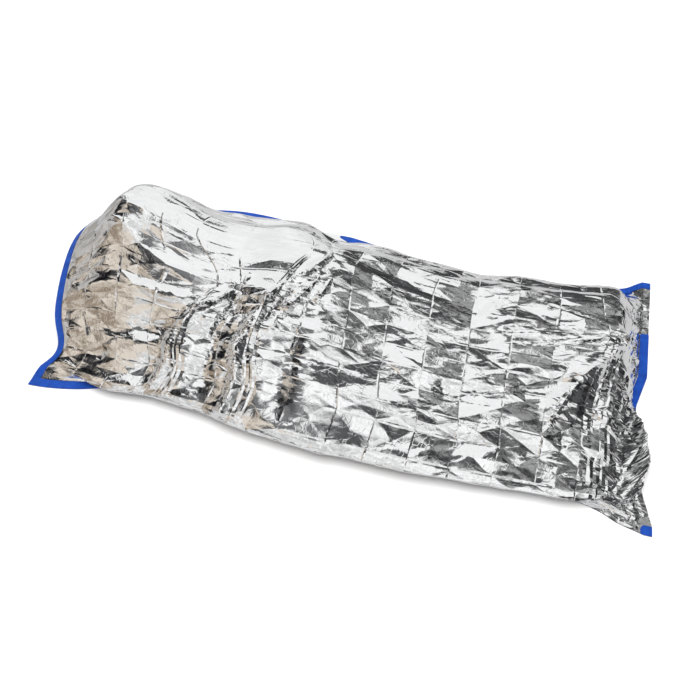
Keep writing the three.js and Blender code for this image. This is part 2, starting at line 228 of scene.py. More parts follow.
def smooth_film(along, across):
    """Film points for places along and across, with the flat flanges that lie inside the tapes."""
    inner = np.clip(across, FLANGE, FAR_LINE)
    turning = inner < LOW_LINE
    lines = film_lines(
        section_points(),
        np.interp(inner[turning], NEAR_TURN["across"], NEAR_TURN["knots"]),
        (inner[~turning] - LOW_LINE) / (FAR_LINE - LOW_LINE),
    ).transpose(1, 0, 2)
    mouth_x = section["x"][0]
    for across_at, spread, reach, from_x in MOUTH_LEAN:
        weight = np.clip((from_x * MM - lines[..., 0]) / (from_x * MM - mouth_x), 0, 1) ** 2
        lines[..., 0] -= weight * reach * MM * bump(inner, across_at * MM, spread * MM)

    start = foot_start(inner)
    tuck = FOOT_TUCK["depth"] * bump(inner, FOOT_TUCK["across"], FOOT_TUCK["spread"])
    tuck *= smoothstep(inner, *FOOT_TUCK["clear"])
    columns = np.array([start] + seam_turn(start, lines[-1], (1, 0, 0), tuck) + list(lines[::-1]))
    held = np.minimum(along, FOOT_LINE)
    rising = held <= RISE_LINE
    from_foot = film_lines(
        columns,
        np.interp(FILM_LENGTH - held[~rising][::-1], FOOT_TURN["from_edge"], FOOT_TURN["knots"]),
        1 - held[rising][::-1] / RISE_LINE,
    )
    film = from_foot[::-1].copy()
    film[..., 0] += np.maximum(0, along - FOOT_LINE)[:, None]
    film[..., 1] += (np.maximum(0, across - FAR_LINE) - np.maximum(0, FLANGE - across))[None, :]
    return film


smooth = smooth_film(along, across)
print("smooth film from", smooth.min((0, 1)).round(3), "to", smooth.max((0, 1)).round(3))

# %% [markdown]
# ## Packing folds
# Unfolded film keeps ridges and valleys on its fold lines, and where two lines cross, the film springs up
# or down and star-shaped facets run out from the crossing. Each crossing, line middle and cell middle gets
# a height, uneven as on the real film, and the film between them stays flat. The sheet is worked flat, as
# columns of along, across and height, and is draped afterwards. Tables of zones say where the film is
# drawn tight, and where whole cells stay flat.

# %% Heights of the packing folds
PACKING = {"ridge": 3.6 * MM, "cross": 2.4 * MM, "stray": 5 * MM}
# What a large sine leaves over a whole number is uneven enough from one crossing to the next
STRAY = {"along": 127.1, "across": 311.7, "spread": 43758.5453}
# along, across, and how far the crossing springs up or down
STARS = [
    [1125, 187.5, 7],
    [1250, 187.5, -7],
    [1250, 375, 7],
    [1500, 187.5, 8],
    [1500, 375, 7],
    [1500, 562.5, -7],
    [250, 187.5, 6],
    [250, 562.5, 10],
    [250, 500, -8],
    [375, 562.5, -9],
    [312.5, 625, 9],
    [187.5, 500, -7],
]
# Zones: along, across, their two reaches and a share
TIGHT = [[520, 650, 420, 200, 0.7], [1010, 270, 240, 140, 0.35]]
FLAT_CELLS = [
    [1000, 270, 220, 150, 0.6],
    [250, 230, 220, 110, 0.4],
    [1350, 420, 300, 260, 0.4],
    [1240, 520, 190, 90, 0.2],
]


def zone_weight(place, zones):
    """Sum over zones, given as along, across, their two reaches and a share."""
    total = np.zeros(place.shape[:-1])
    for along_at, across_at, reach_along, reach_across, share in zones:
        near = bump(place[..., 0], along_at * MM, reach_along * MM)
        total += share * near * bump(place[..., 1], across_at * MM, reach_across * MM)
    return total


def one_piece_cells(height):
    """Heights of the middles of lines and cells if each cell were one flat piece between its crossings."""
    plain = height.copy()
    plain[1::2, ::2] = (height[:-1:2, ::2] + height[2::2, ::2]) / 2
    plain[:, 1::2] = (plain[:, :-1:2] + plain[:, 2::2]) / 2
    return plain


def packing_nodes():
    """Places and heights of the crossings, line middles and cell middles of the packing folds."""
    i, j = np.meshgrid(np.arange(HALF_CELLS + 1), np.arange(HALF_CELLS + 1), indexing="ij")
    ridge = np.where(j % 2 == 0, np.where(j % 4 == 0, 1, -1), 0) * PACKING["ridge"]
    cross = np.where(i % 2 == 0, np.where(i % 4 == 0, 1, -1), 0) * PACKING["cross"]
    value = np.sin(i * STRAY["along"] + j * STRAY["across"]) * STRAY["spread"]
    stray = 2 * (value - np.floor(value)) - 1
    height = ridge + cross + PACKING["stray"] * stray
    for along_at, across_at, spring in STARS:
        height[round(along_at * MM / HALF_ALONG), round(across_at * MM / HALF_ACROSS)] += spring * MM
    place = np.stack([i * HALF_ALONG, j * HALF_ACROSS], axis=-1)
    height += zone_weight(place, FLAT_CELLS) * (one_piece_cells(height) - height)
    return np.dstack([place, height * (1 - zone_weight(place, TIGHT))])


nodes = packing_nodes()
print("packing folds stand", nodes[..., 2].min() / MM, "to", nodes[..., 2].max() / MM, "mm")

# %% [markdown]
# ## Crumpling
# Between the packing folds the film is crumpled into ever smaller facets. Halving the grid three times and
# throwing each new middle a little off its place gives such facets, each with crisp edges. The table of
# zones says where the film is quiet, as where it is drawn tight on top, and where it is badly crumpled, as
# at the waist and down the foot. There the first throw grows most, so the facets stay large. Corners on a
# fold line slide along it but never leave it.

# %% Crumple the flat sheet
# A row for each halving: the throws along, across and up
THROWS = [[7, 3.5, 1.0], [3.2, 1.7, 0.3], [1.3, 0.7, 0.06]]
HELD_BY_FOLD = 0.4
QUIET = 0.8
FINE_GAIN = 1.0
# Zones as above, with the share that is added to QUIET
CRUMPLED = [
    [520, 680, 430, 190, -0.68],
    [1000, 260, 190, 140, -0.35],
    [640, 380, 190, 170, 0.3],
    [865, 330, 70, 170, 0.8],
    [270, 560, 130, 110, 0.8],
    [1850, 320, 90, 300, 1.6],
    [1880, 790, 110, 150, 1.2],
    [1500, 790, 330, 110, 0.6],
    [1945, 560, 45, 230, 1.5],
]


def halve(sheet):
    """Twice as fine a sheet, with the middles of the edges and of the diagonals of the stars."""
    squares = len(sheet) - 1
    cell = np.arange(squares) // (squares // HALF_CELLS)
    rising = ((cell[:, None] + cell[None, :]) % 2 == 0)[..., None]
    fine = np.empty((2 * squares + 1, 2 * squares + 1, 3))
    fine[::2, ::2] = sheet
    fine[1::2, ::2] = (sheet[1:] + sheet[:-1]) / 2
    fine[::2, 1::2] = (sheet[:, 1:] + sheet[:, :-1]) / 2
    up, down = sheet[1:, 1:] + sheet[:-1, :-1], sheet[1:, :-1] + sheet[:-1, 1:]
    fine[1::2, 1::2] = np.where(rising, up, down) / 2
    return fine


def crumple(sheet, random):
    """The sheet halved and thrown once for each row of THROWS."""
    for level, throw in enumerate(THROWS):
        sheet = halve(sheet)
        index = np.arange(len(sheet))
        on_fold = index % (2 * (len(sheet) - 1) // HALF_CELLS) == 0
        thrown = random.uniform(-1, 1, sheet.shape) * np.array(throw) * MM
        thrown[::2, ::2] = 0
        thrown[on_fold, :, 0] = 0
        thrown[:, on_fold, 1] = 0
        thrown[on_fold, :, 2] *= HELD_BY_FOLD
        thrown[:, on_fold, 2] *= HELD_BY_FOLD
        gain = np.maximum(0, QUIET + zone_weight(sheet[..., :2], CRUMPLED))
        if level > 0:
            gain = np.minimum(gain, FINE_GAIN)
        sheet = sheet + thrown * gain[..., None]
    return sheet


flat = crumple(nodes, np.random.default_rng(7))
print("crumpled sheet:", flat.shape[:2], "corners")

# %% Sharpen the fold lines
FOLD_LINE = {"along": 1.4 * MM, "across": 1.3 * MM, "half_width": 4 * MM}
LINE_STRENGTH = {"low": -0.2, "high": 1.2, "knots": 26}


def pressed_lines(random):
    """A narrow ridge or groove on each fold line, strong in some stretches and gone in others."""
    pressed = np.zeros((FINE + 1, FINE + 1))
    knots = np.linspace(0, FINE, LINE_STRENGTH["knots"])
    for number, line in enumerate(range(0, FINE + 1, 2 * SQUARES)):
        side = 1 if number % 2 else -1
        for axis, height in ((1, FOLD_LINE["along"]), (0, FOLD_LINE["across"])):
            drawn = random.uniform(LINE_STRENGTH["low"], LINE_STRENGTH["high"], len(knots))
            strength = np.interp(np.arange(FINE + 1), knots, drawn)
            strength = side * height * np.clip(strength, 0, 1)
            if axis:
                pressed[:, line] += strength
            else:
                pressed[line] += strength
    return pressed


# The corners beside a cross fold are drawn in to it, so that its ridge is as narrow as the others
draw_in = along[1] - FOLD_LINE["half_width"]
flat[1 :: 2 * SQUARES, :, 0] -= draw_in
flat[2 * SQUARES - 1 :: 2 * SQUARES, :, 0] += draw_in
flat[..., 2] += pressed_lines(np.random.default_rng(19))
print("fold lines pressed")

# %% [markdown]
# ## Folds placed one by one
# Larger folds run where the film is drawn over the fullest part: pleats at the waist and rays from the
# foot. The broad ones are soft ridges and troughs, the same as in the imported solid, and two swells at the
# back hide parts of the far tape. The narrow ones are creases: the nearest corners are pulled onto a line,
# which is then raised, or sunk where its height is below zero. Down the foot such lines zigzag. Where film
# is gathered, whole columns of corners are drawn together along a line, so that the pleats stay crisp from
# end to end.

# %% Broad folds
# along and across of the start and of the stop, width, height
FOLDS = [
    [445, 150, 516, 406, 48, 13],
    [516, 406, 590, 490, 42, 10],
    [585, 200, 640, 430, 62, -13],
    [708, 130, 715, 300, 50, 15],
    [715, 300, 757, 472, 46, 14],
    [757, 472, 868, 656, 42, 10],
    [850, 190, 880, 480, 60, -9],
    [150, 250, 420, 300, 50, -8],
    [140, 390, 440, 420, 50, 8],
    [1000, 700, 1380, 640, 60, -9],
    [1812, 628, 1646, 340, 60, 12],
    [1812, 628, 1480, 566, 48, 9],
    [1812, 628, 1590, 690, 50, 8],
    [1760, 330, 1800, 520, 60, -12],
    [1330, 330, 1660, 420, 60, -10],
]
BACK_SWELLS = [[525, 895, 600, 895, 150, 12], [985, 895, 1040, 895, 120, 12]]


def along_line(start, stop):
    """For each corner of the sheet, the share of the way along a line and the distance to its side."""
    run, rise = stop[0] - start[0], stop[1] - start[1]
    length = math.hypot(run, rise)
    out, over = flat[..., 0] - start[0], flat[..., 1] - start[1]
    return (out * run + over * rise) / length**2, (out * rise - over * run) / length, length


for row in FOLDS + BACK_SWELLS:
    *ends, width, height = (value * MM for value in row)
    share, side, length = along_line(ends[:2], ends[2:])
    past = np.maximum(0, np.maximum(-share, share - 1)) * length
    flat[..., 2] += height * bump(np.hypot(side, past), 0, width / 2)
print("broad folds:", len(FOLDS), "and swells:", len(BACK_SWELLS))

# %% Narrow creases
# width, height, then along and across of each corner
CREASES = [
    [9, 4, [618, 330], [632, 413], [639, 497], [667, 559]],
    [9, -4, [596, 300], [610, 400], [622, 480]],
    [9, 5, [805, 360], [819, 399], [847, 486], [868, 542], [889, 590]],
    [8, -5, [775, 360], [785, 385], [812, 476], [833, 531]],
    [8, 4, [890, 470], [903, 503], [924, 562], [938, 594]],
    [12, 5, [1812, 628], [1740, 500], [1646, 340]],
    [10, 4, [1812, 628], [1701, 417], [1625, 243]],
    [10, 4, [1812, 628], [1660, 575], [1528, 535]],
    [10, -4, [1812, 628], [1640, 605], [1465, 580]],
    [10, 4, [1812, 628], [1690, 680], [1560, 720]],
    [5, -1.3, [340, 601], [472, 608]],
    [5, -1.3, [444, 562], [618, 604]],
    [6, -1.6, [438, 517], [632, 556]],
    [7, 3, [1960, 45], [1900, 70], [1830, 90]],
    [7, 3, [1950, 75], [1890, 110], [1840, 160]],
    [7, 3, [1975, 90], [1940, 130], [1925, 180]],
    [6, 3, [1986, 40], [1980, 110], [1986, 180]],
]
# width, height, the two sizes along that it swings between, start and stop across, corners
ZIGZAGS = [
    [10, 4, 1880, 1908, 90, 570, 10],
    [10, -4, 1845, 1870, 100, 560, 9],
    [9, 4, 1923, 1938, 110, 510, 8],
    [10, -4, 1898, 1914, 560, 860, 7],
    [9, 4, 1922, 1941, 520, 850, 8],
]
ZIGZAG_STRAY = 0.25
CREASE_TAPER = 45 * MM


def press_crease(width, height, points):
    """Pulls the nearest corners onto a line through points, and raises or sinks it."""
    steps = [math.dist(a, b) for a, b in zip(points, points[1:])]
    nearest = np.full(flat.shape[:2], np.inf)
    travelled = np.zeros(flat.shape[:2])
    pull = np.zeros(flat.shape[:2] + (2,))
    for number, (start, stop) in enumerate(zip(points, points[1:])):
        share, side, length = along_line(start, stop)
        past = np.maximum(0, np.maximum(-share, share - 1)) * length
        apart = np.hypot(side, past)
        closer = apart < nearest
        nearest[closer] = apart[closer]
        travelled[closer] = (sum(steps[:number]) + np.clip(share, 0, 1) * length)[closer]
        out = np.array([stop[1] - start[1], start[0] - stop[0]]) / length
        pull[closer] = (-side[..., None] * out)[closer]
        grab = np.abs(out) @ np.array([along[1], across[1]]) / 2
        caught = closer & (np.abs(side) < grab) & (past == 0)
        pull[closer & ~caught] = 0
        nearest[caught] = 0
    taper = np.clip(np.minimum(travelled, sum(steps) - travelled) / CREASE_TAPER, 0, 1)
    flat[..., :2] += pull
    flat[..., 2] += height * taper * np.maximum(0, 1 - nearest / width)


def zigzag(low, high, start, stop, corners, random):
    """Corners of a crease that swings between two sizes along, on its way across."""
    stations = np.linspace(start, stop, corners)
    stray = ZIGZAG_STRAY * (stations[1] - stations[0])
    stations[1:-1] += random.uniform(-stray, stray, corners - 2)
    return [[low if number % 2 else high, station] for number, station in enumerate(stations)]


zigzag_random = np.random.default_rng(23)
zigzags = [[width, height, *zigzag(*swing, zigzag_random)] for width, height, *swing in ZIGZAGS]
for width, height, *points in CREASES + zigzags:
    press_crease(width * MM, height * MM, [(a * MM, b * MM) for a, b in points])
print("narrow creases:", len(CREASES), "and zigzags:", len(zigzags))

# %% Gathered pleats
# strands, first and last spread, height, then along and across of the line that the pleats follow
GATHERS = [
    [3, 44, 24, 2.7, [451, 110], [465, 264], [486, 333], [521, 399], [583, 480]],
    [3, 42, 24, 2.7, [708, 110], [715, 278], [722, 333], [757, 472], [812, 576], [868, 656]],
    [4, 84, 46, 2.4, [1800, 60], [1792, 220], [1786, 380], [1804, 520], [1815, 600]],
]
EASE = {"columns": 22, "past_ends": 160 * MM}
STRAND = {"knots": 12, "weakest": -0.3, "strongest": 1.2, "aside": 0.45}
DRAWN = 0.85


def gather(strands, first_spread, last_spread, height, line, random):
    """Draws columns of corners together along a line, and lifts and sinks them by turns as pleats."""
    middle = round(line[:, 0].mean() / along[1])
    offset = np.arange(FINE + 1) - middle
    inside = np.clip(offset, -strands, strands)
    spread = np.interp(across, line[:, 1], np.linspace(first_spread, last_spread, len(line)))
    centre = np.interp(across, line[:, 1], line[:, 0])
    target = centre + inside[:, None] * spread / (2 * strands)
    ease = 1 - smoothstep(np.abs(offset - inside), 0, EASE["columns"])
    past = np.maximum(0, np.maximum(line[0, 1] - across, across - line[-1, 1]))
    held = 1 - smoothstep(past, 0, EASE["past_ends"])
    drawn = (np.abs(offset) <= strands)[:, None] * held * DRAWN
    flat[..., 0] += (target - along[inside + middle][:, None]) * ease[:, None] * held
    flat[..., 0] += drawn * (target - flat[..., 0])
    into = np.minimum(across - line[0, 1], line[-1, 1] - across)
    taper = np.clip(into / CREASE_TAPER, 0, 1)
    knots = np.linspace(line[0, 1], line[-1, 1], STRAND["knots"])

    def wandering(least, most):
        return np.interp(across, knots, random.uniform(least, most, len(knots)))

    for number in range(-strands, strands + 1):
        strength = wandering(STRAND["weakest"], STRAND["strongest"])
        aside = wandering(-STRAND["aside"], STRAND["aside"])
        turned = height if number % 2 == 0 else -height / 2
        flat[middle + number, :, 0] += aside * spread / (2 * strands) * taper
        flat[middle + number, :, 2] += turned * strength * taper


pleat_random = np.random.default_rng(5)
for strands, first_spread, last_spread, height, *points in GATHERS:
    gather(strands, first_spread * MM, last_spread * MM, height * MM, np.array(points) * MM, pleat_random)
print("gathers:", len(GATHERS))

# %% [markdown]
# ## The top film
# The cut sheet starts as a flat grid. Its corners are then moved to the draped form plus the relief, which
# fades out next to the tapes, but runs on to the edge at the foot corners, where the tape is rolled under.
# Close to an edge the relief never goes deep: what would is turned up, off the tape below it. The quads
# are split along the diagonals of the stars, one way or the other in alternate half cells, so that each
# facet is flat.

# %% Drape the flat sheet
# Distances from each edge between which the relief grows, and where the two edges are open to it
FADE = {"near": (50, 90), "far": (45, 110), "mouth": (29, 50), "foot": (31, 58), "open": (0, 10)}
OPEN_NEAR = {"along": [1800, 1880], "open": [0, 1]}
OPEN_FOOT = {"across": [110, 170, 745, 790], "open": [1, 0, 0, 1]}
FOOT_TIP = (38, 62)
EDGE_DEPTH = {"least": 0.5 * MM, "from": 60 * MM, "slope": 0.15, "turned_up": 0.7}


def grid_normals(points):
    normals = np.cross(np.gradient(points, axis=0), np.gradient(points, axis=1))
    return normals / np.linalg.norm(normals, axis=-1, keepdims=True)


def edge_fade(place_along, place_across):
    """Share of the relief at places on the cut, and the depth it may have there."""

    def grown(distance, side):
        return smoothstep(distance / MM, *FADE[side])

    to_foot = FILM_LENGTH - place_along
    open_near = np.interp(place_along / MM, OPEN_NEAR["along"], OPEN_NEAR["open"])
    open_foot = np.interp(place_across / MM, OPEN_FOOT["across"], OPEN_FOOT["open"])
    near = grown(place_across, "near") * (1 - open_near) + grown(place_across, "open") * open_near
    foot = grown(to_foot, "foot") * (1 - open_foot) + grown(to_foot, "open") * open_foot
    ends = grown(FILM_WIDTH - place_across, "far") * grown(place_along, "mouth")
    tip = smoothstep(np.hypot(to_foot, place_across) / MM, *FOOT_TIP)
    past = np.maximum(0, np.minimum(place_across, to_foot) - EDGE_DEPTH["from"])
    return near * foot * ends * tip, EDGE_DEPTH["least"] + EDGE_DEPTH["slope"] * past


smooth_normals = grid_normals(smooth)


def on_film(place_along, place_across, height):
    """Points of the draped film at places on the cut, height above its face; straight on past its edges."""
    row, column = place_along / along[1], place_across / across[1]
    i = np.clip(np.floor(row).astype(int), 0, FINE - 1)
    j = np.clip(np.floor(column).astype(int), 0, FINE - 1)
    a, b = (row - i)[..., None], (column - j)[..., None]

    def between(grid):
        near = grid[i, j] * (1 - a) + grid[i + 1, j] * a
        far = grid[i, j + 1] * (1 - a) + grid[i + 1, j + 1] * a
        return near * (1 - b) + far * b

    return between(smooth) + between(smooth_normals) * np.asarray(height)[..., None]


cut_places = np.meshgrid(along, across, indexing="ij")
fade, depth = edge_fade(*cut_places)
slid = (flat[..., :2] - np.dstack(cut_places)) * fade[..., None]
raised = flat[..., 2] * fade
raised += (1 + EDGE_DEPTH["turned_up"]) * np.maximum(0, -depth - raised)
draped = on_film(along[:, None] + slid[..., 0], across[None, :] + slid[..., 1], raised)

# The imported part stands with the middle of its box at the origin, so the film is moved there too
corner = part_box("bottom_panel")[0]
shift = np.array([corner.x - draped[0, [0, -1], 0].min(), corner.y - draped[:, 0, 1].min(), 0])
print("shift to the packed origin:", shift.round(4))


# %% Make the sheet
def new_sheet(name, points, size):
    """A grid primitive as the flat cut, with its corners moved to points and its UV map in metres."""
    bpy.ops.object.select_all(action="DESELECT")
    bpy.ops.mesh.primitive_grid_add(
        x_subdivisions=points.shape[0] - 1, y_subdivisions=points.shape[1] - 1, size=1
    )
    sheet = bpy.context.object
    sheet.name = sheet.data.name = name
    placed = (points + shift).transpose(1, 0, 2)
    sheet.data.vertices.foreach_set("co", placed.astype(np.float32).ravel())
    layer = sheet.data.uv_layers.active.uv
    flat_uv = np.empty(2 * len(layer), np.float32)
    layer.foreach_get("vector", flat_uv)
    layer.foreach_set("vector", (flat_uv.reshape(-1, 2) * np.array(size, np.float32)).ravel())
    sheet.data.update()
    return sheet


def split_along_stars(sheet):
    """Splits the quads of even half cells along one diagonal, and then the rest along the other."""
    cell = np.arange(FINE) // SQUARES
    picked = ((cell[None, :] + cell[:, None]) % 2 == 0).ravel()
    for method in ("FIXED", "FIXED_ALTERNATE"):
        bpy.ops.object.mode_set(mode="EDIT")
        bpy.ops.mesh.select_all(action="DESELECT")
        bpy.ops.object.mode_set(mode="OBJECT")
        sheet.data.polygons.foreach_set("select", picked)
        bpy.ops.object.mode_set(mode="EDIT")
        bpy.ops.mesh.quads_convert_to_tris(quad_method=method)
        bpy.ops.object.mode_set(mode="OBJECT")
        picked = np.array([len(face.vertices) == 4 for face in sheet.data.polygons])


SHARP_FOLD = math.radians(7)
top = new_sheet("top_film", draped, (FILM_LENGTH, FILM_WIDTH))
split_along_stars(top)
bpy.ops.object.shade_smooth_by_angle(angle=SHARP_FOLD)
print("top film:", len(top.data.polygons), "triangles")

# %% [markdown]
# ## The bottom film
# The lower sheet is cut like the upper one and lies on the floor, so little of it shows but the strip
# inside the mouth. It joins the upper film at the seams: its rows run straight from seam to seam, its edges
# are raised by the tape under them, and it climbs to the far seam where that is drawn up off the floor.

# %% Lay the bottom film
FLOOR_SQUARES = 4 * HALF_CELLS
FLOOR_HEIGHT = 0.4 * MM
FLOOR_CRINKLE = 1.6 * MM
FLOOR_EDGE = (FLANGE, 62 * MM)
CLIMB = {"start": 40 * MM, "per_lift": 1.3}
FOOT_FIT = 300 * MM


def laid_film(random):
    """Points of the lower film, from seam to seam, bowed in at the mouth and bent round the foot."""
    lengthways = np.linspace(0, FILM_LENGTH, FLOOR_SQUARES + 1)
    widthways = np.linspace(0, FILM_WIDTH, FLOOR_SQUARES + 1)
    held = np.minimum(lengthways, FOOT_LINE)
    near = on_film(held, np.full(len(held), FLANGE), 0 * held)[:, None]
    far = on_film(held, np.full(len(held), FAR_LINE), 0 * held)[:, None]
    inner = np.clip(widthways, FLANGE, FAR_LINE)
    share = (inner - FLANGE) / (FAR_LINE - FLANGE)
    film = near + share[None, :, None] * (far - near)
    seam = foot_start(np.array([FLANGE, FAR_LINE]))[:, 0]
    bend = foot_start(inner)[:, 0] - (seam[0] + share * (seam[1] - seam[0]))
    film[..., 0] += smoothstep(held, FOOT_LINE - FOOT_FIT, FOOT_LINE)[:, None] * bend
    film[..., 0] += (lengthways - held)[:, None]
    bow = (1 - smoothstep(lengthways, 0, MOUTH_BOW["length"]))[:, None] * 4 * share * (1 - share)
    film[..., 0] += MOUTH_BOW["depth"] * bow

    lift = far[..., 2] - UPPER_FILM
    width = CLIMB["start"] + CLIMB["per_lift"] * lift
    climb = np.maximum(0, 1 - (far[..., 1] - film[..., 1]) / width)
    film[..., 1] += widthways - inner
    from_ends = np.minimum(lengthways, FILM_LENGTH - lengthways)
    from_sides = np.minimum(widthways, FILM_WIDTH - widthways)
    inside = smoothstep(np.minimum(from_ends[:, None], from_sides[None, :]), *FLOOR_EDGE)
    crinkle = FLOOR_CRINKLE * random.uniform(0, 1, inside.shape) ** 3
    film[..., 2] = LOWER_FILM + inside * (FLOOR_HEIGHT - LOWER_FILM + crinkle) + lift * climb**2
    return film


laid = laid_film(np.random.default_rng(11))
bottom = new_sheet("bottom_film", laid, (FILM_LENGTH, FILM_WIDTH))
bpy.ops.object.shade_smooth_by_angle(angle=SHARP_FOLD)
print("bottom film:", len(bottom.data.polygons), "faces, lowest", laid[..., 2].min() / MM, "mm")

# %% [markdown]
# ## The tapes
# Each edge is bound by a woven tape folded over it: a lower lip, a round bend outside the edge and an upper
# lip. A tape could be a curve with a profile, but it has to follow the film's own edge and change as it
# goes, because near the foot corners and behind the waist it is rolled under and the film hides it. So a
# tape is a long grid whose rows are set round the edge, given its thickness by a Solidify modifier.

# %% Shape of a folded tape
TAPE_THICK = 0.5 * MM
SHARP_TAPE = math.radians(50)
LIP_STEPS = 6
LEAST_LIP = 0.02
BEND_STEPS = 8
# Heights of the lips from the bound edge, of an upper lip rolled under, and how far it then draws back
SEAM_TAPE = {"under": -2.5 * MM, "over": 0.9 * MM, "rolled": -1.1 * MM, "tucked": 3 * MM}
MOUTH_TAPE = {"under": -0.55 * MM, "over": 0.55 * MM, "rolled": -0.55 * MM, "tucked": 0}
TAPE_RIPPLE = {"width": 0.9 * MM, "height": 0.35 * MM, "pitch": 40 * MM}


def tape_rows(length, stations, heights, cover, random):
    """Sizes inwards and upwards from the bound edge, for each station and each step round the tape."""
    knots = np.linspace(0, length, round(length / TAPE_RIPPLE["pitch"]))
    wander = np.interp(stations, knots, random.uniform(-1, 0, len(knots)))[:, None]
    puff = np.interp(stations, knots, random.uniform(0, 1, len(knots)))[:, None]
    cover = np.broadcast_to(cover, stations.shape)[:, None]
    over = heights["rolled"] + cover * (heights["over"] - heights["rolled"])
    lip = np.linspace(0, 1, LIP_STEPS)
    turn = np.linspace(-math.pi / 2, math.pi / 2, BEND_STEPS)[None, 1:-1]
    middle, radius = (heights["under"] + over) / 2, (over - heights["under"]) / 2
    face = TAPE_FACE + TAPE_RIPPLE["width"] * wander
    inwards = [face * lip[::-1], -radius * np.cos(turn), face * np.maximum(cover, LEAST_LIP) * lip]
    lifted = over + TAPE_RIPPLE["height"] * puff * cover * np.sin(math.pi * lip)
    upwards = [heights["under"] + 0 * face * lip, middle + radius * np.sin(turn), lifted]
    return np.hstack(inwards) + heights["tucked"] * (1 - cover), np.hstack(upwards)


def new_tape(name, points, length):
    tape = new_sheet(name, points, (length, 2 * TAPE_FACE))
    thickness = tape.modifiers.new("thickness", "SOLIDIFY")
    thickness.thickness = TAPE_THICK
    thickness.offset = 0
    bpy.ops.object.modifier_apply(modifier=thickness.name)
    bpy.ops.object.shade_smooth_by_angle(angle=SHARP_TAPE)
    print(name, "faces:", len(tape.data.polygons))
    return tape


# %% Bind the seams
# Places along each seam, and the share of the upper lip that lies over the film there
NEAR_COVER = ([1690, 1750, 1962, 1972], [1, 0, 0, 1])
FAR_COVER = ([620, 680, 810, 870], [1, 0, 0, 1])
FOOT_COVER = ([230, 300, 745, 770], [0, 1, 1, 0])


def seam_tape(name, edge, inwards, stations, cover, seed):
    length = stations[-1] - stations[0]
    shown = np.interp(stations / MM, *cover)
    random = np.random.default_rng(seed)
    inner, upper = tape_rows(length, stations - stations[0], SEAM_TAPE, shown, random)
    points = edge[:, None] + inner[..., None] * np.array(inwards) + upper[..., None] * np.array([0, 0, 1])
    return new_tape(name, points, length)


near_tape = seam_tape("near_tape", smooth[:, 0], (0, 1, 0), along, NEAR_COVER, 31)
far_tape = seam_tape("far_tape", smooth[:, -1], (0, -1, 0), along, FAR_COVER, 32)
between = np.linspace(FLANGE, FAR_LINE, FINE // 2 + 1)
foot_edge = on_film(np.full(len(between), FILM_LENGTH), between, 0 * between)
foot_tape = seam_tape("foot_tape", foot_edge, (-1, 0, 0), between, FOOT_COVER, 33)

# %% Bind the mouth
inner, upper = tape_rows(FAR_LINE, between, MOUTH_TAPE, 1, np.random.default_rng(34))
around = np.broadcast_to(between[:, None], inner.shape)
mouth_tape_top = new_tape("mouth_tape_top", on_film(inner, around, upper), FAR_LINE - FLANGE)
laid_places = np.linspace(0, FILM_WIDTH, len(laid[0]))
lower_edge = np.stack([np.interp(between, laid_places, line) for line in laid[0].T], -1)
inner, upper = tape_rows(FAR_LINE, between, MOUTH_TAPE, 1, np.random.default_rng(35))
points = lower_edge[:, None] + np.stack([inner, 0 * inner, upper], -1)
mouth_tape_bottom = new_tape("mouth_tape_bottom", points, FAR_LINE - FLANGE)

# %% [markdown]
# ## Finishes
# The film is plastic with a skin of aluminium, so it is a mirror with tiny wrinkles in it, a little duller
# where it was handled. The tape is a plain weave, matt, with threads that catch the light. Both patterns
# read the UV map, which is in metres of the cut, so they follow the cloth and keep their real scale.

# %% Helpers for finishes
def new_finish(name):
    finish = bpy.data.materials.new(name)
    finish.use_nodes = True
    tree = finish.node_tree
    return finish, tree, tree.nodes["Principled BSDF"]


def cut_place(tree):
    return tree.nodes.new("ShaderNodeUVMap").outputs["UV"]


def noise(tree, place, scale, detail, roughness=0.5):
    node = tree.nodes.new("ShaderNodeTexNoise")
    tree.links.new(place, node.inputs["Vector"])
    node.inputs["Scale"].default_value = scale
    node.inputs["Detail"].default_value = detail
    node.inputs["Roughness"].default_value = roughness
    return node.outputs["Fac"]


def between_values(tree, value, low, high, out_low, out_high):
    node = tree.nodes.new("ShaderNodeMapRange")
    tree.links.new(value, node.inputs["Value"])
    for socket, size in zip(("From Min", "From Max", "To Min", "To Max"), (low, high, out_low, out_high)):
        node.inputs[socket].default_value = size
    return node.outputs["Result"]


def worked(tree, operation, first, second=0.0):
    """Output of a maths node whose two inputs are sockets or plain numbers."""
    node = tree.nodes.new("ShaderNodeMath")
    node.operation = operation
    for socket, value in zip(node.inputs, (first, second)):
        if isinstance(value, bpy.types.NodeSocket):
            tree.links.new(value, socket)
        else:
            socket.default_value = value
    return node.outputs["Value"]


def mixed(tree, share, first, second):
    """A mix of two colours, each a socket or three plain numbers."""
    node = tree.nodes.new("ShaderNodeMix")
    node.data_type = "RGBA"
    tree.links.new(share, node.inputs["Factor"])
    for socket, value in ((node.inputs["A"], first), (node.inputs["B"], second)):
        if isinstance(value, bpy.types.NodeSocket):
            tree.links.new(value, socket)
        else:
            socket.default_value = (*value, 1)
    return node.outputs["Result"]


def raise_surface(tree, shader, height, distance, strength):
    node = tree.nodes.new("ShaderNodeBump")
    node.inputs["Distance"].default_value = distance
    node.inputs["Strength"].default_value = strength
    tree.links.new(height, node.inputs["Height"])
    last = shader.inputs["Normal"].links
    if last:
        tree.links.new(last[0].from_socket, node.inputs["Normal"])
    tree.links.new(node.outputs["Normal"], shader.inputs["Normal"])


print("finish helpers ready")

# %% Film finish
SILVER = (0.9, 0.905, 0.91, 1)
HANDLED = {"scale": 9, "detail": 4, "from": 0.35, "to": 0.7, "bright": 0.03, "dull": 0.08}
RIPPLES = {"scale": 34, "detail": 2, "height": 1.2 * MM, "strength": 0.25}
WRINKLES = {"scale": 70, "line": 0.12, "height": 0.35 * MM, "strength": 0.2}


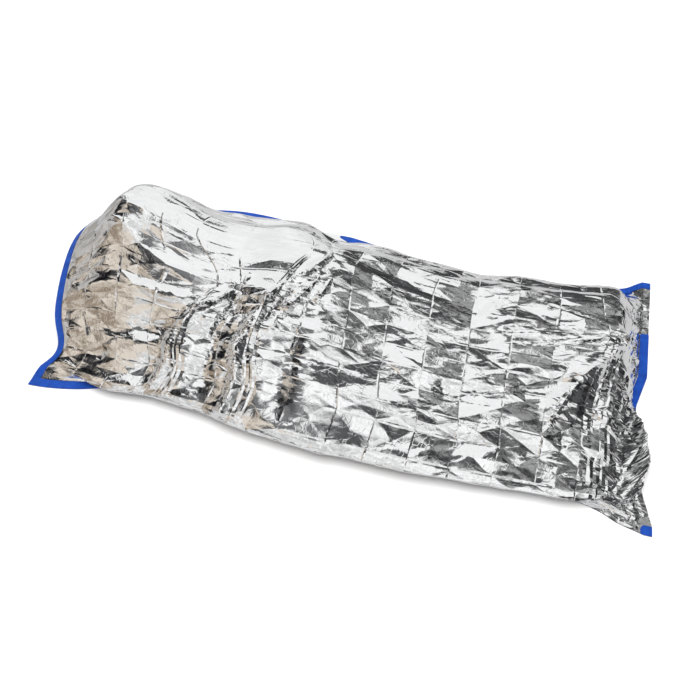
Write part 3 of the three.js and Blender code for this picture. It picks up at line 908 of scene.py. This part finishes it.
def film_finish():
    finish, tree, shader = new_finish("silver_film")
    shader.inputs["Metallic"].default_value = 1.0
    shader.inputs["Base Color"].default_value = SILVER
    place = cut_place(tree)
    handled = noise(tree, place, HANDLED["scale"], HANDLED["detail"])
    span = [HANDLED[name] for name in ("from", "to", "bright", "dull")]
    tree.links.new(between_values(tree, handled, *span), shader.inputs["Roughness"])
    ripples = noise(tree, place, RIPPLES["scale"], RIPPLES["detail"])
    raise_surface(tree, shader, ripples, RIPPLES["height"], RIPPLES["strength"])
    wrinkles = tree.nodes.new("ShaderNodeTexVoronoi")
    wrinkles.feature = "DISTANCE_TO_EDGE"
    wrinkles.inputs["Scale"].default_value = WRINKLES["scale"]
    wrinkles.inputs["Randomness"].default_value = 1
    tree.links.new(place, wrinkles.inputs["Vector"])
    line = between_values(tree, wrinkles.outputs["Distance"], 0, WRINKLES["line"], 1, 0)
    raise_surface(tree, shader, line, WRINKLES["height"], WRINKLES["strength"])
    return finish


silver = film_finish()
print("finish:", silver.name)

# %% Tape finish
BLUES = ((0.003, 0.04, 0.26), (0.008, 0.07, 0.4))
WORN = {"scale": 40, "detail": 5, "from": 0.3, "to": 0.7}
THREADS = {"pitch": 0.9 * MM, "height": 0.25 * MM, "strength": 0.6}
# A wave texture of scale 1 runs through this many radians in a metre
WAVE_RADIANS = 20


def threads(tree, place, direction):
    node = tree.nodes.new("ShaderNodeTexWave")
    node.bands_direction = direction
    node.inputs["Scale"].default_value = math.tau / WAVE_RADIANS / THREADS["pitch"]
    tree.links.new(place, node.inputs["Vector"])
    return node.outputs["Fac"]


def tape_finish():
    finish, tree, shader = new_finish("blue_tape")
    shader.inputs["Roughness"].default_value = 0.55
    shader.inputs["Specular IOR Level"].default_value = 0.35
    place = cut_place(tree)
    weave = worked(tree, "MULTIPLY", threads(tree, place, "X"), threads(tree, place, "Y"))
    worn = noise(tree, place, WORN["scale"], WORN["detail"])
    share = between_values(tree, worn, WORN["from"], WORN["to"], 0, 1)
    tree.links.new(mixed(tree, share, *BLUES), shader.inputs["Base Color"])
    raise_surface(tree, shader, weave, THREADS["height"], THREADS["strength"])
    return finish


blue = tape_finish()
print("finish:", blue.name)

# %% [markdown]
# ## Handing the pieces to the frame
# Every piece stands still with the bag, so all ride on the one body. Each stands for one imported solid,
# which is hidden.

# %% Ride and replace
FILMS = [[top, "top_panel"], [bottom, "bottom_panel"]]
TAPES = [
    [near_tape, "near_binding"],
    [far_tape, "far_binding"],
    [foot_tape, "foot_binding"],
    [mouth_tape_top, "mouth_binding_top"],
    [mouth_tape_bottom, "mouth_binding_bottom"],
]
for pieces, finish, slot in ((FILMS, silver, "film"), (TAPES, blue, "tape")):
    for piece, node in pieces:
        piece.data.materials.append(finish)
        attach(piece, "root")
        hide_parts(node)
print("pieces:", len(FILMS) + len(TAPES))

# %% [markdown]
# ## The studio
# A mirror shows its surroundings, so on film like this the light is a matter of what stands round it. The
# floor is a pale sheet of paper. In the film's mirror it takes a painted shade, a middle grey as where the
# bag shades it, so that the film's edges stand out from the paper. Soft boxes hang in the dark of the
# studio:
# white ones behind, bright ones in front and a warm one to the left, with narrow ones on the right and a
# few dim ones between. They are drawn in the world's shader as soft-edged rectangles, a little uneven, as
# cloth over a lamp is. Between them it stays dark, which gives the facets their contrast.

# %% Floor
FLOOR_SIZE = 14
PAPER = (0.9, 0.9, 0.9)
# Painted shade: the floor's colour in the film's mirror, darker as where the bag shades the paper
PAPER_SHADE_IN_FILM = (0.45, 0.45, 0.455)
bpy.ops.object.select_all(action="DESELECT")
bpy.ops.mesh.primitive_plane_add(size=FLOOR_SIZE)
floor = bpy.context.object
floor.name = "floor"
paper, paper_tree, paper_shader = new_finish("pale_floor")
# Glossy rays see the floor in the painted shade colour instead of the pale paper
in_film = paper_tree.nodes.new("ShaderNodeLightPath").outputs["Is Glossy Ray"]
paper_tree.links.new(mixed(paper_tree, in_film, PAPER, PAPER_SHADE_IN_FILM), paper_shader.inputs["Base Color"])
paper_shader.inputs["Roughness"].default_value = 0.9
floor.data.materials.append(paper)
print("floor:", FLOOR_SIZE, "m")

# %% Soft boxes
CAMERA_AZIMUTH = 14.8
# azimuth from the camera's right by way of the back, elevation, half width and height, edge: degrees;
# then the colours at the bottom and top
SOFT_BOXES = [
    [310, 50, 22, 26, 12, (0.02, 0.02, 0.02), (0.2, 0.2, 0.2)],
    [52, 48, 15, 30, 8, (0.05, 0.05, 0.05), (0.4, 0.4, 0.4)],
    [245, 20, 26, 15, 9, (0.62, 0.62, 0.62), (0.92, 0.92, 0.92)],
    [250, 59, 30, 26, 14, (0.6, 0.6, 0.6), (1.08, 1.08, 1.08)],
    [197, 35, 21, 25, 9, (0.31, 0.25, 0.19), (0.8, 0.72, 0.63)],
    [158, 10, 20, 13, 8, (0.4, 0.38, 0.36), (0.6, 0.58, 0.56)],
    [181, 68, 14, 11, 7, (0.02, 0.02, 0.021), (0.2, 0.2, 0.204)],
    [109, 40, 22, 43, 4, (0.88, 0.88, 0.88), (1.0, 1.0, 1.0)],
    [77, 48, 12, 13, 4, (0.88, 0.88, 0.88), (1.0, 1.0, 1.0)],
    [84, 11, 8, 11, 4, (0.8, 0.8, 0.8), (0.9, 0.9, 0.9)],
    [328, 42, 4, 26, 3, (0.8, 0.8, 0.8), (0.95, 0.95, 0.95)],
    [22, 30, 4, 20, 3, (0.4, 0.4, 0.4), (0.6, 0.6, 0.6)],
]


def add_soft_box(tree, way, uneven, behind, azimuth, elevation, half_width, half_height, edge, low, high):
    """Mixes one soft box over the colour behind it. The direction is turned to face the box squarely."""
    a, e = math.radians(azimuth + CAMERA_AZIMUTH), math.radians(elevation)
    facing = Vector((math.cos(a) * math.cos(e), math.sin(a) * math.cos(e), math.sin(e)))
    right = Vector((-math.sin(a), math.cos(a), 0))
    turn = tree.nodes.new("ShaderNodeMapping")
    tree.links.new(way, turn.inputs["Vector"])
    turn.inputs["Rotation"].default_value = Matrix((right, facing.cross(right), facing)).to_euler()
    parts = tree.nodes.new("ShaderNodeSeparateXYZ")
    tree.links.new(turn.outputs["Vector"], parts.inputs["Vector"])
    share = worked(tree, "GREATER_THAN", parts.outputs["Z"])
    for name, half in (("X", half_width), ("Y", half_height)):
        offset = worked(tree, "DIVIDE", parts.outputs[name], parts.outputs["Z"])
        inside = tree.nodes.new("ShaderNodeMapRange")
        inside.interpolation_type = "SMOOTHSTEP"
        tree.links.new(worked(tree, "ABSOLUTE", offset), inside.inputs["Value"])
        inside.inputs["From Min"].default_value = math.tan(math.radians(half + edge / 2))
        inside.inputs["From Max"].default_value = math.tan(math.radians(half - edge / 2))
        share = worked(tree, "MULTIPLY", share, inside.outputs["Result"])
    reach = math.tan(math.radians(half_height))
    height = between_values(tree, offset, -reach, reach, 0, 1)
    tone = mixed(tree, worked(tree, "ADD", height, uneven), low, high)
    return mixed(tree, share, behind, tone)


print("soft boxes:", len(SOFT_BOXES))

# %% Light the studio
DARK = {"low": (0.008, 0.008, 0.009), "high": (0.11, 0.11, 0.113), "scale": 3.5}
UNEVEN = {"scale": 6, "reach": 0.6}
CLOUDS = {"detail": 3, "from": 0.35, "to": 0.65}
PALE = (0.93, 0.93, 0.93)
FILL = {"height": 4, "size": 6, "energy": 260}


def clouds(tree, way, scale, low, high):
    """Soft noise over all directions, from low to high."""
    grain = noise(tree, way, scale, CLOUDS["detail"])
    return between_values(tree, grain, CLOUDS["from"], CLOUDS["to"], low, high)


def studio():
    world = bpy.data.worlds.new("studio")
    bpy.context.scene.world = world
    world.use_nodes = True
    tree = world.node_tree
    way = tree.nodes.new("ShaderNodeTexCoord").outputs["Generated"]
    colour = mixed(tree, clouds(tree, way, DARK["scale"], 0, 1), DARK["low"], DARK["high"])
    uneven = clouds(tree, way, UNEVEN["scale"], -UNEVEN["reach"], UNEVEN["reach"])
    for box in SOFT_BOXES:
        colour = add_soft_box(tree, way, uneven, colour, *box)
    seen = tree.nodes.new("ShaderNodeLightPath").outputs["Is Camera Ray"]
    tree.links.new(mixed(tree, seen, colour, PALE), tree.nodes["Background"].inputs["Color"])


studio()
bpy.ops.object.light_add(type="AREA", location=(0, 0, FILL["height"]))
fill = bpy.context.object
fill.data.shape = "DISK"
fill.data.size = FILL["size"]
fill.data.energy = FILL["energy"]
fill.visible_glossy = False
print("fill light:", fill.data.energy, "W")

# %% Camera
CAMERA_ELEVATION = 52
DISTANCE = 2.34
AIM = (0, -0.08, 0)
# A lens as long as the sensor is wide sees as far across as it stands away
FIELD = 36
turned, tilted = math.radians(CAMERA_AZIMUTH), math.radians(CAMERA_ELEVATION)
back = Vector(
    (math.sin(turned) * math.cos(tilted), -math.cos(turned) * math.cos(tilted), math.sin(tilted))
)
target = Vector(AIM) + Vector(shift)
bpy.ops.object.camera_add(location=target + DISTANCE * back)
camera = bpy.context.object
camera.rotation_euler = back.to_track_quat("Z", "Y").to_euler()
camera.data.lens = camera.data.sensor_width = FIELD
bpy.context.scene.camera = camera
bpy.context.scene.view_settings.view_transform = "Standard"
print("camera at", [round(place, 3) for place in camera.location])
